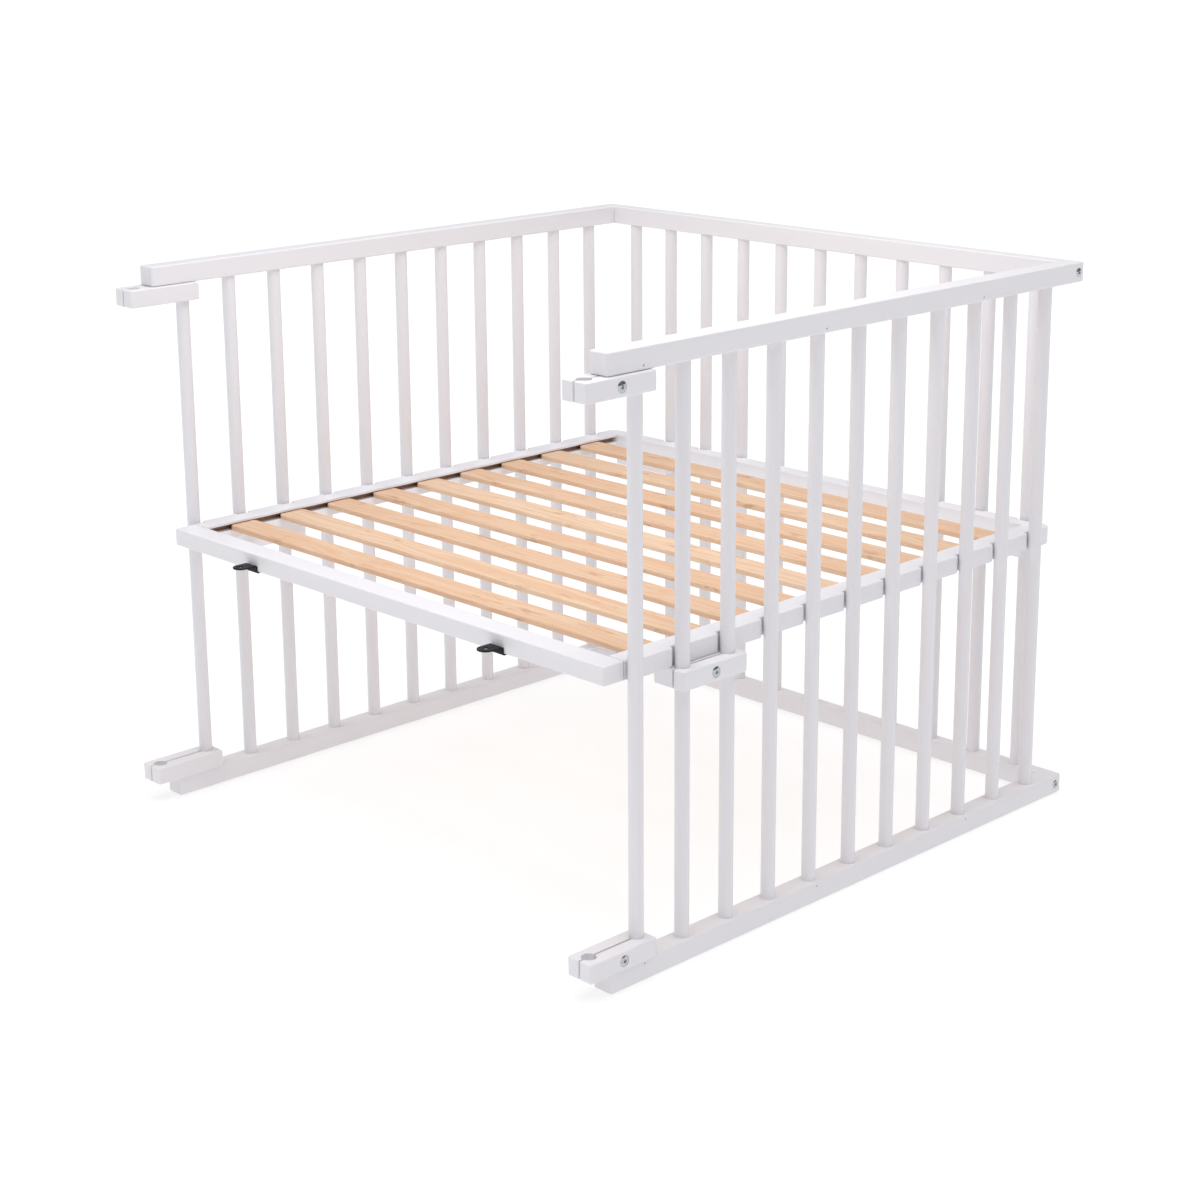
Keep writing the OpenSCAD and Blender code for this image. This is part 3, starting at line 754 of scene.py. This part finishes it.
def clamp(name, nodes, body, middle, turn, pitch, inner_w, outer_w, along):
    """Both halves of a clamp, and the place of its bolt. Turn takes the outer half's way, +X, round."""
    inner, outer = nodes
    lo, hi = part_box(outer)
    place = Matrix.Translation(Vector((middle[0], middle[1], 0))) @ turn
    half = clamp_half(name + "_outer_half", outer_w, pitch, lo.z, hi.z, place,
                      outer_sink(outer_w), along)
    hand_over(half, body, "white_lacquer", outer)
    half = clamp_half(name + "_inner_half", inner_w, pitch, lo.z, hi.z, place @ MIRROR_X,
                      inner_sink(), along)
    hand_over(half, body, "white_lacquer", inner)
    seat = GAP + outer_w + PROUD - HEAD_H
    return place @ Matrix.Translation((seat, 0, (lo.z + hi.z) / 2))


def front_clamps():
    """The four clamps that turn about the first spindles of the side panels."""
    part = bolt_part(CLAMP_HEAD_R, FRONT_BOLT)
    for side, word in SIDES:
        for level in ("top", "bottom"):
            body = f"{word}_{level}_clamp"
            seat = clamp(body, (body + "_inner", body + "_outer"), body,
                         (side * LINE_X, FIRST_Y - SIDE_PITCH / 2), side_matrix(side), SIDE_PITCH,
                         FRONT_HALF_W, FRONT_HALF_W, "y")
            bolt = placed_copies(body + "_cap_bolt", part, [seat], PLATED)
            hand_over(bolt, body, "plated_steel", body + "_bolt")
    remove(part)


def bearer_clamps():
    """The four clamps that carry the base, two on the side panels and two on the back panel."""
    part = bolt_part(CLAMP_HEAD_R, BEARER_BOLT)
    seats = []
    back_x = (SPINDLES - 2) * BACK_PITCH / 2
    for side, word in SIDES:
        name = f"{word}_bearer"
        seats.append(clamp(name + "_clamp", (name + "_inner", name + "_outer"), "base",
                           (side * LINE_X, FIRST_Y + 1.5 * SIDE_PITCH), side_matrix(side), SIDE_PITCH,
                           BEARER_INNER_W, BEARER_OUTER_W, "y"))
        name = f"back_{word}_bearer"
        turn = side_matrix(side) @ Matrix.Rotation(math.radians(90), 4, "Z")
        seats.append(clamp(name + "_clamp", (name + "_inner", name + "_outer"), "base",
                           (side * back_x, BACK_Y), turn, BACK_PITCH,
                           BEARER_INNER_W, BEARER_OUTER_W, "x"))
    bolts = placed_copies("bearer_cap_bolts", part, seats, PLATED)
    hand_over(bolts, "base", "plated_steel", "bearer_bolts")
    remove(part)


# ---- Base ----

NOTCH_HALF = 11 * MM
NOTCH_CORNER = 3 * MM
TOOTH_CORNER = 2.6 * MM
SIDE_ROOM = 2.5 * MM             # between the side spindles and the bottom of their notches
BACK_ROOM = 2.2 * MM             # the same at the back
BACK_CORNER = 20 * MM            # round corners of the back rail
GROOVE_DEEP = 12 * MM
GROOVE_HIGH = 9 * MM
PAST = 5 * MM                    # how far a cutter runs past the wood
SAWN_END = 0.12                  # share of the rounding at the rails' sawn ends
INNER_EDGE = 0.6                 # the same along the edge that faces the slats


def toothed_edge(inner, outer, start, end, centres):
    """The notched edge of a base rail, from start to end along its length: (across, along) points."""
    points = []
    for centre in centres:
        low, high = centre - NOTCH_HALF, centre + NOTCH_HALF
        if low > start:
            points += arc(outer - TOOTH_CORNER, low - TOOTH_CORNER, TOOTH_CORNER, 0, 90, 4)
            points += arc(inner + NOTCH_CORNER, low + NOTCH_CORNER, NOTCH_CORNER, 270, 180, 4)
        if high < end:
            points += arc(inner + NOTCH_CORNER, high - NOTCH_CORNER, NOTCH_CORNER, 180, 90, 4)
            points += arc(outer - TOOTH_CORNER, high + TOOTH_CORNER, TOOTH_CORNER, -90, 0, 4)
    return points


def base_side_rail(side, word):
    """A side rail of the base: notched round the spindles outside, grooved for the slats inside."""
    name = f"base_{word}_rail"
    inner, outer = LINE_X - SPINDLE_R - SIDE_ROOM, edge_hi.x
    centres = [FIRST_Y + i * SIDE_PITCH for i in range(SPINDLES)]
    edge = [(inner, edge_lo.y)]
    edge += toothed_edge(inner, outer, edge_lo.y, edge_hi.y, centres)
    points = [(edge_lo.x, edge_lo.y)] + edge + [(outer, edge_hi.y), (edge_lo.x, edge_hi.y)]
    weights = [SAWN_END] + [1.0] * len(edge) + [SAWN_END, INNER_EDGE]
    bm = prism(points, edge_lo.z, edge_hi.z, weights, SAWN_END)
    rail = mesh_object(name + "_wood", moved(bm, side_matrix(side)), [LACQUER["y"]])
    soften(rail, BASE_SOFT, 4, by_weight=True)
    settled(rail)
    groove = block((edge_lo.x - PAST, edge_lo.y - PAST, slat_lo.z),
                   (edge_lo.x + GROOVE_DEEP, edge_hi.y + PAST, slat_lo.z + GROOVE_HIGH))
    cutter = mesh_object("groove", moved(groove, side_matrix(side)), [GROOVE_WOOD_AND_SHADE])
    cut_with(rail, cutter)
    settled(rail)
    remove(cutter)
    # The groove's back wall and ceiling keep the dark groove wood, bare wood with painted shade; only its
    # floor is lacquered.
    for face in rail.data.polygons:
        if face.normal.z > 0.5:
            face.material_index = 0      # the lacquer reaches the floor of the groove
    hand_over(smooth(rail), "base", "white_lacquer", name)


def base_back_rail():
    """The base's back rail, notched round the back spindles, with two round corners."""
    inner = BACK_Y - SPINDLE_R - BACK_ROOM
    outer, x1 = tail_hi.y, tail_hi.x
    centres = [(i - (SPINDLES - 1) / 2) * BACK_PITCH for i in range(SPINDLES)]
    teeth = toothed_edge(inner, outer, -x1, x1, centres)
    edge = arc(x1 - BACK_CORNER, outer - BACK_CORNER, BACK_CORNER, 0, 90, 12)
    edge += [(along, across) for across, along in reversed(teeth)]
    edge += arc(-x1 + BACK_CORNER, outer - BACK_CORNER, BACK_CORNER, 90, 180, 12)
    points = [(-x1, tail_lo.y), (x1, tail_lo.y)] + edge
    weights = [INNER_EDGE] + [1.0] * (len(edge) + 1)
    bm = prism(points, tail_lo.z, tail_hi.z, weights, SAWN_END)
    rail = mesh_object("base_back_rail_wood", bm, [LACQUER["x"]])
    soften(rail, BASE_SOFT, 4, by_weight=True)
    settled(rail)
    hand_over(smooth(rail), "base", "white_lacquer", "base_back_rail")


def base_front_rail():
    """The plain front rail, which carries the bed brackets."""
    rail = mesh_object("base_front_rail_wood", block(nose_lo, nose_hi), [LACQUER["x"]])
    soften(rail, SOFT, 4)
    settled(rail)
    hand_over(smooth(rail), "base", "white_lacquer", "base_front_rail")


PLANED = 0.5 * MM                # wood taken off the top of a slat's ends
SHOULDER_X = edge_lo.x - 1 * MM  # where the planed end begins
SLAT_CORNER = 16 * MM


def slats():
    """Nine boards, each a piece of its own, with rounded and planed ends and eased edges."""
    top = slat_hi.z
    ends = []
    for side, _ in SIDES:
        end = block((SHOULDER_X, slat_lo.y - PAST, top - PLANED),
                    (slat_hi.x + PAST, last_hi.y + PAST, top + PAST))
        ends.append(moved(end, side_matrix(side)))
    plane = mesh_object("end_plane", merged(ends), [SLAT_WOOD])
    for number in range(1, SLATS + 1):
        lo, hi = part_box(f"slat_{number}")
        slat = grown(f"slat_board_{number}", SLAT_ROW, {
            "Count": 1, "Start": (0, (lo.y + hi.y) / 2, lo.z), "Step": (0, 0, 0), "Length": hi.x - lo.x,
            "Width": hi.y - lo.y, "Thickness": hi.z - lo.z, "End Radius": SLAT_CORNER,
            "Finish": SLAT_WOOD})
        soften(slat, BASE_SOFT, 4)
        settled(slat)
        cut_with(slat, plane)
        settled(slat)
        hand_over(smooth(slat), "base", "natural_wood", f"slat_{number}")
    remove(plane)


# ---- Bed brackets ----

STRIP = 2 * MM
STRIP_BEND = 2.2 * MM            # radius of a fold, at the strip's middle
EYE_R = 3.5 * MM
SCREW_SPREAD = 14 * MM


def strip_path(foot, rise, reach):
    """Middle line of the folded strip, from the foot's end to the middle of its eye: (y, z) points."""
    half, bend = STRIP / 2, STRIP_BEND
    low = [(-half + bend + y, -half + bend + z) for y, z in arc(0, 0, bend, 270, 180, 6)]
    high = [(-half - bend + y, rise + half - bend + z) for y, z in arc(0, 0, bend, 0, 90, 6)]
    return [(foot, -half)] + low + high + [(-reach, rise + half)]


def flat_strip(half_w, eye_at):
    """The strip before it is folded, along +Y, with its round end and its eye."""
    bm = bmesh.new()
    outline = [(-half_w, 0), (half_w, 0)] + arc(0, eye_at, half_w, 0, 180, 20)
    for loop in (outline, arc(0, eye_at, EYE_R, 0, 345, 23)):
        verts = [bm.verts.new((x, s, 0)) for x, s in loop]
        for i, v in enumerate(verts):
            bm.edges.new((v, verts[(i + 1) % len(verts)]))
    bmesh.ops.triangle_fill(bm, edges=bm.edges, use_beauty=True)
    return bm


def fold(bm, path, stations, centre):
    """Bends the flat strip along a path. Stations are the path's lengths at its points."""
    for s in stations[1:-1]:
        geometry = bm.verts[:] + bm.edges[:] + bm.faces[:]
        bmesh.ops.bisect_plane(bm, geom=geometry, plane_co=(0, s, 0), plane_no=(0, 1, 0))
    for v in bm.verts:
        s = v.co.y
        i = max(k for k in range(len(path) - 1) if k == 0 or stations[k] <= s + 1e-7)
        share = (s - stations[i]) / (stations[i + 1] - stations[i])
        y = path[i][0] + (path[i + 1][0] - path[i][0]) * share
        z = path[i][1] + (path[i + 1][1] - path[i][1]) * share
        v.co = (centre + v.co.x, nose_lo.y + y, nose_lo.z + z)
    bmesh.ops.recalc_face_normals(bm, faces=bm.faces)


def bed_bracket(word):
    """A black steel strip folded twice, with a round end and a drilled eye."""
    name = f"{word}_bed_bracket"
    lo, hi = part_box(name)
    half_w = (hi.x - lo.x) / 2
    path = strip_path(hi.y - nose_lo.y, hi.z - nose_lo.z - STRIP, nose_lo.y - lo.y - half_w)
    stations = [0.0]
    for (y0, z0), (y1, z1) in zip(path, path[1:]):
        stations.append(stations[-1] + math.hypot(y1 - y0, z1 - z0))

    bm = flat_strip(half_w, stations[-1])
    fold(bm, path, stations, (lo.x + hi.x) / 2)
    strip = mesh_object(name + "_strip", bm, [BLACK_STEEL])
    thick = strip.modifiers.new("gauge", "SOLIDIFY")
    thick.thickness = STRIP
    thick.offset = 0
    soften(strip, CRISP, 2, 60)
    settled(strip)
    hand_over(smooth(strip), "base", "black_steel", name)


def bracket_screws():
    """Pan-head screws with a cross slot under the brackets' feet."""
    lo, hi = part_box("bracket_screws")
    head_r, head_h, shank_r = 3.8 * MM, 1.6 * MM, 1.9 * MM
    top = hi.z - lo.z
    profile = [(0, 0), (1.6 * MM, 0.05 * MM), (2.9 * MM, 0.45 * MM), (head_r, 1.3 * MM), (head_r, head_h),
               (shank_r, head_h), (shank_r, top - 3 * MM), (0, top)]
    screw = mesh_object("screw_part", turned(profile, 32))
    reach, width = 1.9 * MM, 0.45 * MM
    cutter = mesh_object("slot", block((-reach, -width, -1 * MM), (reach, width, 0.8 * MM)))
    cut_with(screw, cutter)
    settled(screw)
    cutter.data.transform(Matrix.Rotation(math.radians(90), 4, "Z"))
    cut_with(screw, cutter)
    settled(screw)
    remove(cutter)
    sets = []
    for _, word in SIDES:
        near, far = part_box(f"{word}_bed_bracket")
        start = ((near.x + far.x) / 2 - SCREW_SPREAD / 2, (lo.y + hi.y) / 2, lo.z)
        sets.append(row("screw_row", screw, 2, start, (SCREW_SPREAD, 0, 0), BLACK_STEEL))
    remove(screw)
    hand_over(joined("bracket_pan_screws", sets, BLACK_STEEL), "base", "black_steel", "bracket_screws")


# ---- Nodes that keep their own shape ----

def dress_hidden_nodes():
    """Finishes for the small inner parts, which keep the frame's shapes."""
    finishes = {"base_dowels": DOWEL_WOOD, "corner_pins": DOWEL_WOOD, "barrel_nuts": PLATED,
                "bearer_nuts": PLATED}
    for _, word in SIDES:
        for level in LEVELS:
            finishes[f"{word}_{level}_clamp_nut"] = PLATED
    for name, material in finishes.items():
        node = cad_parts[name]
        node.data.materials.clear()
        node.data.materials.append(material)


# ---- Studio ----

def floor():
    """A wide pale floor that glows a little, so that it meets the backdrop without an edge."""
    bm = bmesh.new()
    bmesh.ops.create_grid(bm, x_segments=1, y_segments=1, size=200)
    bmesh.ops.translate(bm, vec=(0, 0, -0.2 * MM), verts=bm.verts)
    material, g, shader, place = new_material("studio_floor", Specular_IOR_Level=0.1)
    shade = g.mix(g.ramp(g.noise(place, 3.0), 0.3, 0.7), (0.49, 0.49, 0.495, 1), (0.51, 0.51, 0.515, 1))
    g.tree.links.new(shade, shader.inputs["Base Color"])
    shader.inputs["Roughness"].default_value = 0.9
    shader.inputs["Emission Color"].default_value = (1, 1, 1, 1)
    shader.inputs["Emission Strength"].default_value = 0.56
    mesh_object("studio_floor", bm, [material])


def soft_light(name, direction, spread, strength):
    """A broad, distant light. Spread is the angle that it fills, in degrees."""
    data = bpy.data.lights.new(name, "SUN")
    data.angle = math.radians(spread)
    data.energy = strength
    light = bpy.data.objects.new(name, data)
    light.rotation_euler = Vector(direction).to_track_quat("Z", "Y").to_euler()
    collection.objects.link(light)


def lamp(name, place, target, size, watts):
    """A round lamp that brightens the far panels' inner sides."""
    data = bpy.data.lights.new(name, "AREA")
    data.shape = "DISK"
    data.size = size
    data.energy = watts
    light = bpy.data.objects.new(name, data)
    light.location = place
    light.rotation_euler = (Vector(place) - Vector(target)).to_track_quat("Z", "Y").to_euler()
    collection.objects.link(light)


def studio():
    """A sky that is brighter overhead, three broad lights and a lamp over the base."""
    world = bpy.data.worlds.new("studio")
    bpy.context.scene.world = world
    world.use_nodes = True
    sky = world.node_tree.nodes["Background"]
    sky.inputs["Color"].default_value = (1, 1, 1, 1)
    g = Graph(world.node_tree)
    direction = g.add("ShaderNodeTexCoord").outputs["Generated"]
    height = g.add("ShaderNodeSeparateXYZ", {"Vector": direction}).outputs["Z"]
    g.tree.links.new(g.ramp(height, 0.0, 0.6, 0.14, 0.48), sky.inputs["Strength"])
    floor()
    soft_light("overhead", (0.1, 0.1, 1), 60, 1.28)
    soft_light("front_left", (-0.55, -0.83, 0.9), 70, 0.62)
    soft_light("front_right", (0.94, -0.34, 0.9), 70, 0.24)
    lamp("inside", (0.33, -0.35, 1.5), (-0.35, 0.45, 0.5), 0.6, 4.2)
    bpy.context.scene.view_settings.view_transform = "Standard"


def camera():
    """A long lens from the front right, a little above the top rails."""
    data = bpy.data.cameras.new("camera")
    data.sensor_width = 36
    data.lens = 68.95
    data.shift_y = -1 / 12
    data.clip_start, data.clip_end = 0.1, 100
    obj = bpy.data.objects.new("camera", data)
    obj.location = (2.3564, -2.2941, 1.3210)
    azimuth, elevation, roll = math.radians(45.86), math.radians(14.58), math.radians(-0.39)
    turn = Euler((math.pi / 2 - elevation, 0, azimuth)).to_matrix() @ Matrix.Rotation(roll, 3, "Z")
    obj.rotation_euler = turn.to_euler()
    collection.objects.link(obj)
    bpy.context.scene.camera = obj


camera()
studio()
panels()
nails()
glides()
corner_bolts()
front_clamps()
bearer_clamps()
for side, word in SIDES:
    base_side_rail(side, word)
base_back_rail()
base_front_rail()
slats()
for _, word in SIDES:
    bed_bracket(word)
bracket_screws()
dress_hidden_nodes()
